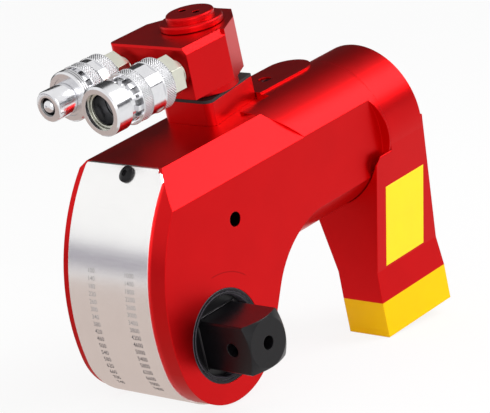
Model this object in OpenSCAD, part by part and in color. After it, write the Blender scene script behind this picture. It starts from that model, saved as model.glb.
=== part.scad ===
// Square-drive hydraulic torque wrench.
// X runs from the nose to the reaction arm, Z is up, and the square points to -Y.
// The origin is on the drive axis, in the plane of the piston.

/* [Square drive] */
// Size across the flats of the output square
square_size = 25.4; // [22:0.1:28]
// Length of the square outside the housing
square_reach = 27.4; // [20:0.1:40]
// Cone at the end of the square, measured along its axis
square_lead = 3; // [1:0.5:6]
// Radius of the flat end of the square
square_end_r = 12.3; // [10:0.1:12.6]
// Diameter of the hole through the square
square_hole_d = 7; // [5:0.5:9]
// Diameter of the socket pin hole across the square
pin_hole_d = 7; // [3:0.5:8]
// Depth of the ratchet's hub below the drive-side face
hub_recess = 4.5; // [1:0.5:6]

/* [Housing] */
// Distance from the piston plane to the drive-side face
drive_face = 31; // [29:0.5:34]
// Distance from the piston plane to the far face
far_face = 39; // [36:0.5:46]
// Radius of the nose round the drive axis
nose_r = 34; // [33.5:0.5:40]
// Place along X of the centre of the brow arc
brow_x = 66; // [60:1:80]
// Height of the centre of the brow arc
brow_z = 13.5; // [8:0.5:18]
// Height of the top flat above the drive axis
top_z = 87.5; // [84:0.5:92]
// Width of the 45 degree chamfer along the drive-side top edge
edge_chamfer = 15.5; // [8:0.5:18]
// Small chamfer along the far top edge
far_chamfer = 3; // [1:0.5:8]
// Radius of the throat between the nose and the arm
throat_r = 50; // [45:1:56]
// Slope of the line from the drive axis to the throat centre
throat_angle = -10.4; // [-14:0.1:-8]
// Free distance between the nose round and the throat round
throat_gap = 4.5; // [2:0.5:8]
// Diameter of the threaded hole in the drive-side face
side_hole_d = 7.5; // [4:0.5:10]
// Place along X of the threaded side hole
side_hole_x = 22.2; // [16:0.1:28]
// Height of the threaded side hole
side_hole_z = 52.1; // [46:0.1:60]
// Depth of the threaded side hole
side_hole_depth = 10; // [6:0.5:12]

/* [Cylinder boss] */
// Radius of the cylinder boss and of the arm collar
boss_r = 36.5; // [36:0.5:39]
// Height of the piston axis above the drive axis
boss_z = 53; // [52:0.5:56]
// Place along X where the boss starts
boss_x = 66; // [62:1:72]
// Place along X where the slab's chamfer ends at the top flat
runout_x = 69.2; // [66:0.1:74]
// Distance that the chamfer's end runs back down to the drive side
runout_len = 11.1; // [4:0.1:14]
// Place along X where the drive-side flat ends
flat_end_x = 131; // [126:1:132]
// Radius of the curved rear end of the drive-side flat
flat_end_r = 44; // [42:1:90]
// Place along X of the seam between boss and arm
arm_x = 136; // [134:1:140]
// Root radius of the splined spigot
spigot_r = 28; // [27:0.5:30]
// Radial height of the splines
spline_height = 2.5; // [1.5:0.5:3]
// Number of splines
spline_count = 18; // [12:1:24]
// Radius of the piston bore
bore_r = 22; // [20:0.5:24]
// Place along X of the front end of the piston bore
bore_x = 78; // [76:1:84]
// Top of the gallery rail above the drive axis
rail_z = 90.5; // [89:0.5:93]
// Width of the gallery rail
rail_w = 24.5; // [20:0.5:28]
// Place along Y of the middle of the gallery rail
rail_y = 12.75; // [11:0.25:14]
// Place along X of the rear end of the gallery rail
rail_end_x = 135; // [120:1:135]

/* [Drive train] */
// Half of the slot that holds the crank and the ratchet
slot_half = 18.3; // [17.5:0.1:20]
// Radius of the cavity round the ratchet
cavity_r = 31.2; // [31:0.1:32]
// Height of the cavity roof above the drive axis
cavity_top = 65; // [64:0.5:66]
// Rear wall of the cavity behind the drive axis
cavity_rear = 30.5; // [30:0.5:32]
// Number of ratchet teeth
tooth_count = 36; // [36:12:48]
// Radius of the ratchet over its teeth
ratchet_r = 23.5; // [22.5:0.1:24]
// Depth of a ratchet tooth
tooth_depth = 2; // [1.5:0.1:2.4]
// Width of the ratchet teeth
ratchet_w = 18; // [14:0.5:18]
// Radius of the ratchet hubs that run in the bushes
hub_r = 20; // [19.5:0.1:20.4]
// Outer radius of the bushes
bush_r = 23.5; // [23:0.1:26]
// Thickness of one crank plate
crank_plate = 8; // [6:0.1:8]
// Radius of the round end of a crank plate
crank_end_r = 29; // [28:0.5:30]
// Half width of the fork at the top of a crank plate
fork_half = 9.5; // [9:0.1:10]
// Height of the fork end above the drive axis, crank upright
fork_top = 60; // [59.5:0.1:61]
// Swing of the crank to each side of upright
crank_swing = 15; // [10:5:15]
// Radius of the crosshead pin
pin_r = 5; // [4:0.5:6]
// Radius of the piston rod
rod_r = 9; // [8:0.5:10]
// Radius of the rod eye
eye_r = 9.5; // [9:0.5:9.5]
// Length of the piston
piston_len = 22; // [16:1:24]
// Half width of the drive pawl along the ratchet
pawl_half = 7.5; // [6:0.5:9]
// Outer radius of the drive pawl when it is in mesh
pawl_top = 30; // [29:0.5:30.5]
// Place along X of the reaction pawl's pin
latch_x = 35.5; // [35:0.5:36.5]
// Height of the reaction pawl's pin
latch_z = 9; // [8:0.5:11]
// Turn that lifts the reaction pawl clear of the teeth
latch_lift = 10; // [9:0.5:12]

/* [Nose plate] */
// Thickness of the bent plate over the nose
plate_t = 1; // [0.8:0.1:2]
// Plate edge on the drive side, from the piston plane
plate_near = 20.2; // [18.5:0.1:24]
// Plate edge on the far side, from the piston plane
plate_far = 34.5; // [28:0.1:37]
// Place along X of the plate's lower edge
plate_end_x = 6; // [0:1:12]
// Radius of the plate's button-head screw
screw_head_r = 4.3; // [3:0.1:6]
// Length of the screw's shank
screw_len = 9; // [6:0.5:12]
// Place along Y of the plate's screw
screw_y = 4.4; // [0:0.1:8]
// Radius of the plate's upper corners
plate_corner = 3; // [1:0.5:6]

/* [Reaction arm] */
// Place along X of the rear face of the arm
arm_rear_x = 163; // [161:0.5:172]
// Height of the foot's bottom
foot_z = -51.4; // [-60:0.1:-45]
// Height of the foot's straight part
foot_h = 19.1; // [12:0.1:26]
// Front face of the foot along X
foot_x = 111; // [104:0.5:116]
// Drive-side face of the foot, from the piston plane
foot_near = 32; // [30:0.1:40]
// Width of the foot
foot_w = 26.8; // [20:0.1:34]
// Drive-side waist of the leg, from the piston plane
waist_near = 30; // [28:0.1:32]
// Height of the waist
waist_z = -16.6; // [-20:0.1:-10]
// Edge break round the arm's rear face
arm_edge = 1.2; // [0.5:0.1:3]
// Distance that the leg's front leans back
leg_rake = 12.2; // [8:0.1:20]
// Height over which the leg's front leans back
leg_rake_h = 72; // [60:1:80]

/* [Swivel] */
// Place along X of the swivel axis
swivel_x = 65.3; // [63:0.1:67]
// Place along Y of the swivel axis
swivel_y = 14.5; // [13:0.1:16]
// Height of the swivel base block
base_h = 11.9; // [9:0.1:16]
// Front of the base, ahead of the swivel axis
base_front = 16.8; // [15:0.1:22]
// Rear of the base, behind the swivel axis
base_rear = 22.5; // [17:0.1:24]
// Half width of the base at its front
base_half = 17.6; // [16:0.1:20]
// Half width of the base at its rear
base_half_rear = 10.4; // [9:0.1:16]
// Corner radius of the base
base_corner = 5; // [2:0.5:6]
// Thickness of the black plate that the block turns on
ring_h = 1.6; // [1:0.1:4]
// Side of the coupler block towards the drive, from the swivel axis
block_near = 25; // [23:0.5:28]
// Far side of the coupler block, from the swivel axis
block_far = 28.5; // [28:0.5:32]
// Front face of the block, ahead of the swivel axis
block_front = 32; // [28:0.5:36]
// Rear face of the block, behind the swivel axis
block_rear = 24; // [20:0.5:26]
// End of the block's side flats, ahead of the swivel axis
block_flat = 3.5; // [0:0.5:8]
// Height of the coupler block
block_h = 26.4; // [24:0.1:34]
// Height of the neck under the block
neck_h = 6.6; // [4:0.1:9]
// Radius of the neck under the block
neck_r = 17; // [13:0.1:18]
// Chamfer along the top edge towards the drive
block_chamfer = 3; // [1:0.5:6]
// Edge break along the front top edge
block_edge = 1; // [0.5:0.1:2]
// Radius of the block's front far corner
block_corner = 4; // [1:0.5:6]
// Radius of the swivel post
post_r = 9; // [7:0.1:11]
// Depth of the post in the housing
post_depth = 14; // [10:0.5:16]
// Radius of the wide step of the swivel cap
cap_r = 16; // [13:0.1:18]
// Height of the wide step of the swivel cap
cap_h = 3.4; // [2:0.1:6]
// Radius of the narrow step of the swivel cap
cap_top_r = 12.2; // [10:0.1:14]
// Height of the narrow step of the swivel cap
cap_top_h = 3.3; // [2:0.1:5]
// Rounding of the cap's edges
cap_round = 1.2; // [0.5:0.1:1.6]
// Diameter of the spanner holes in the cap
spanner_hole_d = 4; // [2:0.1:5]
// Distance between the spanner holes
spanner_pitch = 9.4; // [8:0.1:14]

/* [Couplers] */
// Half of the distance between the coupler axes
coupler_offset = 18.2; // [17:0.1:20]
// Distance of the middle between the couplers from the swivel axis
coupler_shift = 3.1; // [0:0.1:4]
// Height of the coupler axes above the top flat
coupler_rise = 34; // [32:0.1:38]
// Across-flats size of the nipple hexagon
nipple_hex = 19; // [16:0.5:21]
// Length of the nipple hexagon
nipple_hex_len = 7.8; // [5:0.1:9]
// Length of the bare nipple between block and hexagon
nipple_neck = 3.7; // [2:0.1:5]
// Radius of the bare nipple
nipple_neck_r = 6.8; // [6:0.1:8]
// Radius of the nipple's thread in the block
nipple_r = 5; // [4:0.1:6]
// Depth of the nipple in the block
nipple_depth = 9; // [6:0.5:12]
// Length of the cone behind the rear knurled band
tail_cone = 2.5; // [1:0.1:4]
// Radius of the knurled bands
band_r = 13.2; // [12.5:0.1:14]
// Length of one knurled band
band_len = 6.8; // [5:0.1:9]
// Across-flats size of the spanner hexagon between the bands
waist_hex = 24.4; // [23:0.1:25]
// Largest radius of that hexagon
waist_r = 12.8; // [12.3:0.1:13]
// Length of the hexagon on the female coupler
female_waist = 8.6; // [5:0.1:10]
// Length of the hexagon on the male coupler
male_waist = 4.4; // [3:0.1:8]
// Radius of the notched crown ahead of the bands
crown_r = 11.8; // [11:0.1:12.4]
// Length of the crown's teeth
crown_len = 3; // [2:0.1:4]
// Number of notches round a crown
notch_count = 12; // [8:1:16]
// Bare distance between the female crown and the sleeve
sleeve_gap = 3.8; // [1:0.1:5]
// Radius of the female front sleeve
sleeve_r = 12.6; // [12:0.1:13.2]
// Length of the female front sleeve
sleeve_len = 10.7; // [8:0.1:14]
// Inner radius of the sleeve's front lip
lip_r = 9.2; // [8.6:0.1:9.6]
// Length of the sleeve's front lip
lip_len = 2.4; // [1.5:0.1:3]
// Radius of the female bore
socket_r = 8.3; // [8.1:0.1:8.6]
// Depth of the female bore
socket_depth = 16; // [12:0.5:18]
// Radius of the male flange
flange_r = 13; // [12:0.1:13.2]
// Length of the male flange
flange_len = 4.6; // [3:0.1:8]
// Radius of the male tip
tip_r = 8; // [7.5:0.1:8.1]
// Length of the male tip
tip_len = 13.5; // [10:0.1:16]
// Chamfer at the end of the male tip
tip_chamfer = 1; // [0.5:0.1:2]
// Radius of the ball in the male tip
ball_r = 3.9; // [3:0.1:4.5]
// Part of the ball that stands out of the tip
ball_proud = 1.2; // [0.5:0.1:2]

/* [Fits] */
// Radial clearance of a running fit
running_gap = 0.06; // [0.02:0.01:0.1]
// Gap between pieces that are fixed together
seat_gap = 0.05; // [0.02:0.01:0.1]
// Free gap between pieces that move past each other
free_gap = 0.35; // [0.3:0.01:0.5]

/* [Hidden] */
$fn = 72;
eps = 0.01;
past = 2;
brow_dist = norm([brow_x, brow_z]);
brow_r = nose_r + brow_dist;
brow_touch = -nose_r / brow_dist * [brow_x, brow_z];
throat_dist = nose_r + throat_r + throat_gap;
throat_dir = [cos(throat_angle), sin(throat_angle)];
throat = throat_dist * throat_dir;
touch_angle = throat_angle - acos((nose_r + throat_r) / throat_dist);
touch_dir = [cos(touch_angle), sin(touch_angle)];
nose_touch = nose_r * touch_dir;
throat_touch = throat - throat_r * touch_dir;
slab_end = throat[0];
brow_top = [brow_x - sqrt(pow(brow_r, 2) - pow(top_z - brow_z, 2)), top_z];
brow_top_angle = atan2(top_z - brow_z, brow_top[0] - brow_x);
plate_screw_angle = brow_top_angle + asin((screw_head_r + plate_t) / brow_r);
flat_bulge = flat_end_r - sqrt(pow(flat_end_r, 2) - pow(boss_r, 2) + pow(drive_face, 2));
spline_r = spigot_r + spline_height;
spline_w = PI * spigot_r / spline_count;
stroke = 2 * boss_z * tan(crank_swing);
rod_pin_x = boss_z * tan(crank_swing);
piston_x = bore_x + stroke + 20;
piston_end = piston_x + piston_len;
cap_x = piston_end + free_gap;
spline_gap = 0.15;
ring_groove_w = 1.6;
ring_groove_drop = 1;
ring_proud = 1.5;
ring_groove_x = arm_rear_x - 4;
spigot_end = arm_rear_x - 1;
plug_r = 3.5;
plug_depth = 7;
plug_sunk = 1;
screw_shank_r = screw_head_r * 0.55;
socket_flats = 3;
seal_w = 2.5;
gland_r = 15;
gland_len = 16;
gland_x = bore_x - gland_len;
rod_passage = rod_r + 3;
root_r = ratchet_r - tooth_depth;
tooth_pitch = 360 / tooth_count;
mesh_gap = 0.25;
pawl_lift = tooth_depth + mesh_gap + 0.1;
inner_half = ratchet_w / 2 + 0.3;
crank_in = inner_half + 0.3;
pawl_wide = inner_half - 0.1;
fork_slot_bottom = boss_z - pin_r - 1.5;
carrier_top = pawl_top + pawl_lift + 8;
carrier_roof = 5;
carrier_cheek = 3.2;
spring_r = 3;
latch_r = 5.5;
latch_pin_r = 3;
latch_half = inner_half - 3;
latch_tip = [19.4, 14.1];
latch_room = 1;
retainer_len = 12;
retainer_recess = 1;
retainer_flange = 3;
chamber_end = far_face - retainer_flange;
chamber_r = square_hole_d / 2 + 2;
button_head = 2;
button_travel = 2.3;
button_proud = 3;
base_z = top_z;
ring_z = base_z + base_h;
block_z = ring_z + ring_h + neck_h + free_gap;
block_top = block_z + block_h;
cap_z = block_top + free_gap;
coupler_z = top_z + coupler_rise;
block_face = swivel_x - block_front;
rail_x = swivel_x + base_rear + free_gap;
plug_x = rail_x + rail_w * 0.7;
coupler_mid = swivel_y + coupler_shift;
tail_s = nipple_neck + nipple_hex_len;
band_s = tail_s + tail_cone;
waist_s = band_s + band_len;
female_band_s = waist_s + female_waist;
female_crown_s = female_band_s + band_len;
sleeve_s = female_crown_s + crown_len + sleeve_gap;
lip_s = sleeve_s + sleeve_len;
core_r = socket_r + 1.9;
seal_t = 1;
core_end = lip_s - lip_len - seal_t - 2 * free_gap;
socket_end = core_end - socket_depth;
male_band_s = waist_s + male_waist;
male_crown_s = male_band_s + band_len;
flange_s = male_crown_s + crown_len;
tip_s = flange_s + flange_len;
tip_end = tip_s + tip_len;
stem_r = tip_r + 1.5;
notch_depth = 1.8;
foot_far = foot_near - foot_w;
anodised = [0.80, 0.05, 0.07];
chrome = [0.82, 0.82, 0.84];
blackened = [0.10, 0.10, 0.11];
sheet_metal = [0.78, 0.77, 0.76];
tool_steel = [0.45, 0.45, 0.48];
rubber = [0.05, 0.05, 0.05];
brass = [0.80, 0.66, 0.32];

// Plane helpers: a flat shape drawn in X and Z, thickened from y0 to y1.
module across(y0, y1) {
    translate([0, y1, 0]) rotate([90, 0, 0]) linear_extrude(y1 - y0) children();
}

// A flat shape drawn in Y and Z, thickened from x0 to x1.
module along(x0, x1) {
    translate([x0, 0, 0]) rotate([90, 0, 90]) linear_extrude(x1 - x0) children();
}

// A round bar along Y, centred on x and z.
module bar_y(r, y0, y1, x = 0, z = 0) {
    translate([x, y1, z]) rotate([90, 0, 0]) cylinder(r = r, h = y1 - y0);
}

// A round bar along X, on the piston axis unless told otherwise.
module bar_x(r, x0, x1, y = 0, z = boss_z) {
    translate([x0, y, z]) rotate([0, 90, 0]) cylinder(r = r, h = x1 - x0);
}

// A turned piece on a coupler axis; the profile's height runs forward from the block.
module coupler_turned(side) {
    coupler_place(side) rotate_extrude() children();
}

// Places its children on a coupler axis, with +Z running forward from the block.
module coupler_place(side) {
    translate([block_face, coupler_mid + side * coupler_offset, coupler_z]) rotate([0, -90, 0]) children();
}

// A ring profile for the turned pieces.
module band(r0, r1, z0, z1) {
    translate([r0, z0]) square([r1 - r0, z1 - z0]);
}

// Leans its children back to the crank's rest place.
module crank_rest() {
    rotate([0, crank_swing, 0]) children();
}

// Side outline of the slab: nose round, brow arc and throat, all tangent.
module slab_outline() {
    circle(nose_r);
    difference() {
        intersection() {
            translate([brow_x, brow_z]) circle(brow_r, $fn = 180);
            polygon([
                brow_touch, nose_touch, throat_touch, [slab_end, throat_touch[1]], [slab_end, top_z],
                [-2 * nose_r, top_z], [-2 * nose_r, brow_touch[1]]
            ]);
        }
        translate(throat) circle(throat_r, $fn = 120);
    }
}

// Space for the crank, the ratchet and the reaction pawl, open at the front under the plate.
module cavity_outline() {
    circle(cavity_r);
    translate([-2 * nose_r, -nose_r / 2]) square([2 * nose_r, cavity_top + nose_r / 2]);
    square([cavity_rear, cavity_top]);
}

// Pocket for the reaction pawl behind the ratchet.
module latch_pocket() {
    translate([latch_x, latch_z]) circle(latch_r + latch_room);
    translate([0, latch_z - latch_r - latch_room]) square([latch_x, 2 * latch_r + 6 * latch_room]);
}

// Ratchet teeth: each rises steeply and falls back over one pitch.
module tooth_outline(grow = 0) {
    lip = tooth_pitch * 0.35;
    polygon([
        for (i = [0:tooth_count - 1], tip = [0, 1])
            let (a = i * tooth_pitch + tip * lip, r = (tip == 1 ? ratchet_r : root_r) + grow)
                r * [cos(a), sin(a)]
    ]);
}

module splines(r, grow) {
    circle(r);
    for (i = [0:spline_count - 1])
        rotate(i * 360 / spline_count)
            translate([0, -spline_w / 2 - grow]) square([r + spline_height, spline_w + 2 * grow]);
}

// Wedge that the drive-side chamfer takes off.
module drive_chamfer_cut() {
    along(-2 * nose_r, slab_end + past) polygon([
        [-drive_face - past, top_z - edge_chamfer - past], [-drive_face + edge_chamfer + past, top_z + past],
        [-drive_face - past, top_z + past]
    ]);
}

// The upper drive-side quarter round the boss, before or behind the slanting end of the chamfer.
module runout_space(before) {
    reach = 2 * top_z;
    lean = reach * runout_len / (edge_chamfer * sqrt(2));
    far_x = before ? -reach : reach;
    intersection() {
        translate([runout_x, edge_chamfer - drive_face, top_z]) rotate([45, 0, 0])
            linear_extrude(2 * reach, center = true)
                polygon([
                    [-lean, reach], [far_x - lean, reach], [far_x + lean, -reach], [lean, -reach]
                ]);
        translate([-reach, -reach, boss_z]) cube([2 * reach, reach, reach]);
    }
}

// What the turned boss takes off the slab.
module slab_runout() {
    difference() {
        union() {
            runout_space(false);
            translate([boss_x, 0, -nose_r])
                cube([slab_end - boss_x + past, far_face + past, top_z + 2 * nose_r]);
        }
        bar_x(boss_r, boss_x - past, 2 * slab_end);
    }
}

module slab() {
    difference() {
        across(-drive_face, far_face) slab_outline();
        drive_chamfer_cut();
        slab_runout();
        along(-2 * nose_r, slab_end + past) polygon([
            [far_face + past, top_z - far_chamfer - past], [far_face - far_chamfer - past, top_z + past],
            [far_face + past, top_z + past]
        ]);
    }
}

// Side outline of the drive-side flat, with its rear end curved.
module flat_outline() {
    translate([boss_x - past, boss_z - boss_r]) square([flat_end_x - boss_x + past, 2 * boss_r]);
    intersection() {
        translate([flat_end_x + flat_bulge - flat_end_r, boss_z]) circle(flat_end_r, $fn = 120);
        translate([flat_end_x - past, boss_z - boss_r]) square([flat_bulge + 2 * past, 2 * boss_r]);
    }
}

module boss() {
    difference() {
        union() {
            bar_x(boss_r, boss_x, arm_x);
            along(arm_x - past, spigot_end) translate([0, boss_z]) splines(spigot_r, 0);
        }
        across(-drive_face - boss_r, -drive_face) flat_outline();
        runout_space(true);
    }
    translate([0, 0, boss_z]) linear_extrude(rail_z - boss_z) rail_plan();
}

module rail_plan() {
    end_r = rail_w / 2;
    translate([boss_x, rail_y - end_r]) square([rail_end_x - end_r - boss_x, rail_w]);
    translate([rail_end_x - end_r, rail_y]) circle(end_r);
}

module housing() {
    color(anodised) difference() {
        union() {
            slab();
            intersection() {
                boss();
                translate([boss_x, -boss_r - past, boss_z - boss_r])
                    cube([arm_rear_x, 2 * (boss_r + past), rail_z]);
            }
        }
        // seat of the swivel base
        translate([swivel_x - 2 * base_front, swivel_y - base_half - past, top_z])
            cube([rail_x - swivel_x + 2 * base_front, 2 * (base_half + past), rail_z]);
        // slot, latch pocket and bush bores
        across(-slot_half, slot_half) cavity_outline();
        across(-inner_half, inner_half) latch_pocket();
        bar_y(latch_pin_r + seat_gap, -slot_half + latch_room, slot_half - latch_room, latch_x, latch_z);
        bar_y(bush_r + seat_gap, -drive_face - past, far_face + past);
        // piston bore, gland bore and rod passage
        bar_x(bore_r, bore_x, spigot_end + past);
        bar_x(gland_r + seat_gap, gland_x, bore_x + past);
        bar_x(rod_passage, 0, gland_x + past);
        // groove of the arm's ring
        difference() {
            bar_x(spline_r + past, ring_groove_x, ring_groove_x + ring_groove_w);
            bar_x(spigot_r - ring_groove_drop, ring_groove_x - past, ring_groove_x + ring_groove_w + past);
        }
        // post thread, plug thread, screw thread and side hole
        translate([swivel_x, swivel_y, top_z - post_depth])
            cylinder(r = post_r + seat_gap, h = post_depth + past);
        translate([plug_x, rail_y, rail_z - plug_depth]) cylinder(r = plug_r + seat_gap, h = plug_depth + past);
        plate_screw_place() translate([0, 0, -screw_len - seat_gap])
            cylinder(r = screw_shank_r + seat_gap, h = screw_len + past);
        bar_y(side_hole_d / 2, -drive_face - past, -drive_face + side_hole_depth, side_hole_x, side_hole_z);
    }
}

// Nose round and brow arc as one shape, grown by the plate's thickness or not.
module nose_and_brow(grow) {
    circle(nose_r + grow);
    intersection() {
        translate([brow_x, brow_z]) circle(brow_r + grow, $fn = 180);
        polygon([
            [0, 0], brow_touch * 2, [-3 * nose_r, brow_touch[1]], [-3 * nose_r, top_z], [slab_end, top_z]
        ]);
    }
}

// The plate lies on the nose and the brow, from the top flat to under the nose.
module plate_outline() {
    intersection() {
        difference() {
            nose_and_brow(plate_t);
            nose_and_brow(0);
        }
        polygon([
            [plate_end_x, -nose_r / 2], [plate_end_x, -2 * nose_r], [-3 * nose_r, -2 * nose_r],
            [-3 * nose_r, top_z], [brow_top[0], top_z]
        ]);
    }
}

// Places its children on the plate, +Z pointing out along the screw.
module plate_place(angle, y) {
    r = brow_r + plate_t;
    translate([brow_x + r * cos(angle), y, brow_z + r * sin(angle)]) rotate([0, 90 - angle, 0]) children();
}

module plate_screw_place() {
    plate_place(plate_screw_angle, screw_y) children();
}

// Takes one upper corner off the plate; side is the direction of the corner along Y.
module plate_corner_cut(y, side) {
    plate_place(brow_top_angle, y) translate([0, 0, -past]) linear_extrude(2 * past) difference() {
        translate([-plate_corner, side > 0 ? -plate_corner : -past]) square(plate_corner + past);
        translate([-plate_corner, -side * plate_corner]) circle(plate_corner);
    }
}

module nose_plate() {
    color(sheet_metal) difference() {
        across(-plate_near, plate_far) plate_outline();
        drive_chamfer_cut();
        plate_corner_cut(plate_far, 1);
        plate_corner_cut(edge_chamfer - drive_face, -1);
        plate_screw_place() translate([0, 0, -screw_len])
            cylinder(r = screw_shank_r + seat_gap, h = 2 * screw_len);
    }
}

module plate_screw() {
    head_h = screw_head_r * 0.55;
    color(blackened) plate_screw_place() difference() {
        union() {
            translate([0, 0, -screw_len]) cylinder(r = screw_shank_r, h = screw_len);
            intersection() {
                cylinder(r = screw_head_r, h = head_h);
                translate([0, 0, -screw_head_r * 1.2]) sphere(screw_head_r * 1.75);
            }
        }
        translate([0, 0, head_h * 0.4]) cylinder(d = socket_flats / cos(30), h = head_h, $fn = 6);
    }
}

module bush(y0, y1) {
    difference() {
        bar_y(bush_r, y0, y1);
        bar_y(hub_r + running_gap, y0 - past, y1 + past);
    }
}

module drive_bush() {
    color(blackened) bush(-drive_face, -slot_half);
}

module far_bush() {
    color(blackened) bush(slot_half, far_face);
}

module gland() {
    groove_w = 3;
    color(tool_steel) difference() {
        bar_x(gland_r, gland_x, bore_x);
        bar_x(rod_r + running_gap, gland_x - past, bore_x + past);
        bar_x(rod_r + groove_w, bore_x - 2 * groove_w, bore_x - groove_w);
    }
}

module gland_seal() {
    groove_w = 3;
    color(rubber) difference() {
        bar_x(rod_r + groove_w - seat_gap, bore_x - 2 * groove_w + seat_gap, bore_x - groove_w - seat_gap);
        bar_x(rod_r + running_gap, bore_x - 3 * groove_w, bore_x);
    }
}

module cylinder_cap() {
    groove = 2.5;
    color(blackened) difference() {
        bar_x(bore_r - seat_gap, cap_x, spigot_end);
        difference() {
            bar_x(bore_r + past, cap_x + groove, cap_x + 2 * groove);
            bar_x(bore_r - groove, cap_x, cap_x + 3 * groove);
        }
        for (s = [-1, 1])
            bar_x(groove, spigot_end - 2 * groove, spigot_end + past, s * bore_r / 2);
    }
}

module cap_seal() {
    groove = 2.5;
    color(rubber) difference() {
        bar_x(bore_r - seat_gap, cap_x + groove + seat_gap, cap_x + 2 * groove - seat_gap);
        bar_x(bore_r - groove + seat_gap, cap_x, cap_x + 3 * groove);
    }
}

module gallery_plug() {
    color(blackened) translate([plug_x, rail_y, rail_z - plug_depth]) difference() {
        cylinder(r = plug_r, h = plug_depth - plug_sunk);
        translate([0, 0, plug_depth / 2]) cylinder(d = socket_flats / cos(30), h = plug_depth, $fn = 6);
    }
}

// Leg seen from the nose: collar round, sloping sides, waist and foot.
module leg_front_view() {
    polygon([
        [boss_r * 0.56, boss_z - boss_r * 0.35], [-foot_far * 0.6, waist_z * 1.1], [-foot_far, foot_z + foot_h],
        [-foot_far, foot_z], [-foot_near, foot_z], [-foot_near, foot_z + foot_h],
        [-waist_near, waist_z], [-boss_r, boss_z], [0, boss_z]
    ]);
}

// Leg seen from the side: upright at the back, raked at the front.
module leg_side_view() {
    polygon([
        [foot_x, foot_z], [arm_rear_x, foot_z], [arm_rear_x, boss_z], [arm_x, boss_z],
        [foot_x + leg_rake, foot_z + foot_h + leg_rake_h], [foot_x, foot_z + foot_h]
    ]);
}

module reaction_arm() {
    color(anodised) difference() {
        union() {
            bar_x(boss_r, arm_x + seat_gap, arm_rear_x - arm_edge);
            translate([arm_rear_x - arm_edge, 0, boss_z]) rotate([0, 90, 0])
                cylinder(r1 = boss_r, r2 = boss_r - arm_edge, h = arm_edge);
            intersection() {
                along(foot_x - past, arm_rear_x) leg_front_view();
                across(-boss_r - past, boss_r + past) leg_side_view();
            }
        }
        bar_x(boss_r + free_gap, foot_x - past, arm_x + seat_gap);
        along(arm_x - past, arm_rear_x + past)
            translate([0, boss_z]) splines(spigot_r + spline_gap, spline_gap);
        bar_x(spline_r + ring_proud + free_gap, ring_groove_x - seat_gap, arm_rear_x + past);
    }
}

module arm_ring() {
    color(blackened) difference() {
        bar_x(spline_r + ring_proud, ring_groove_x + seat_gap, ring_groove_x + ring_groove_w - seat_gap);
        bar_x(spigot_r - ring_groove_drop + seat_gap, ring_groove_x - past, arm_rear_x);
    }
}

module latch_pin() {
    color(tool_steel) bar_y(latch_pin_r, -slot_half + latch_room, slot_half - latch_room, latch_x, latch_z);
}

module latch_spring() {
    color(tool_steel) difference() {
        bar_y(latch_pin_r + 1.5, latch_half + free_gap, inner_half - seat_gap, latch_x, latch_z);
        bar_y(latch_pin_r + seat_gap, 0, inner_half + past, latch_x, latch_z);
    }
}

// Reaction pawl in mesh; it is drawn lifted by its turn round the pin.
module latch_outline() {
    reach = latch_tip - [latch_x, latch_z];
    side = [-reach[1], reach[0]] / norm(reach);
    difference() {
        union() {
            translate([latch_x, latch_z]) circle(latch_r);
            polygon([
                [latch_x, latch_z] + side * (latch_r - 1), [latch_x, latch_z] - side * (latch_r - 0.5),
                latch_tip - side * 4.5, latch_tip + side * 1.5
            ]);
        }
        tooth_outline(mesh_gap);
        translate([latch_x, latch_z]) circle(latch_pin_r + running_gap);
    }
}

module reaction_pawl() {
    color(tool_steel) across(-latch_half, latch_half)
        translate([latch_x, latch_z]) rotate(-latch_lift) translate([-latch_x, -latch_z]) latch_outline();
}

module base_plan() {
    front = -base_front + base_corner;
    difference() {
        polygon([
            [-base_front, -base_half], [-base_front, base_half], [base_rear, base_half_rear],
            [base_rear, -base_half_rear]
        ]);
        for (s = [-1, 1]) scale([1, s]) difference() {
            translate([-base_front - past, base_half - base_corner]) square(base_corner + past);
            translate([front, base_half - base_corner]) circle(base_corner);
        }
    }
}

module swivel_base() {
    color(anodised) translate([swivel_x, swivel_y, base_z]) linear_extrude(base_h) difference() {
        base_plan();
        circle(post_r + seat_gap);
    }
}

module swivel_post() {
    color(tool_steel) translate([swivel_x, swivel_y, top_z - post_depth])
        cylinder(r = post_r, h = cap_z - top_z + post_depth - seat_gap);
}

module swivel_ring() {
    color(rubber) translate([swivel_x, swivel_y, ring_z]) linear_extrude(ring_h) difference() {
        base_plan();
        circle(post_r + seat_gap);
    }
}

// Plan of the block: straight front and sides, then two slanting faces a side to the rear.
module block_plan() {
    corner = [-block_front + block_corner, block_far - block_corner];
    difference() {
        polygon([
            [-block_front, -block_near], [-block_flat, -block_near], [block_rear * 0.6, -block_near * 0.6],
            [block_rear, -block_near * 0.2], [block_rear, block_far * 0.2], [block_rear * 0.6, block_far * 0.6],
            [-block_flat, block_far], [-block_front, block_far]
        ]);
        difference() {
            translate([-block_front - past, corner[1]]) square([block_corner + past, block_corner + past]);
            translate(corner) circle(block_corner);
        }
    }
}

// The chamfer towards the drive and the small edge break over the couplers.
module block_chamfer_cut() {
    along(-block_front - past, -block_flat) polygon([
        [block_chamfer - block_near + past, block_h + past],
        [-block_near - past, block_h - block_chamfer - past], [-block_near - past, block_h + past]
    ]);
    across(-block_near - past, block_far + past) polygon([
        [block_edge - block_front + past, block_h + past], [-block_front - past, block_h - block_edge - past],
        [-block_front - past, block_h + past]
    ]);
}

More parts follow.
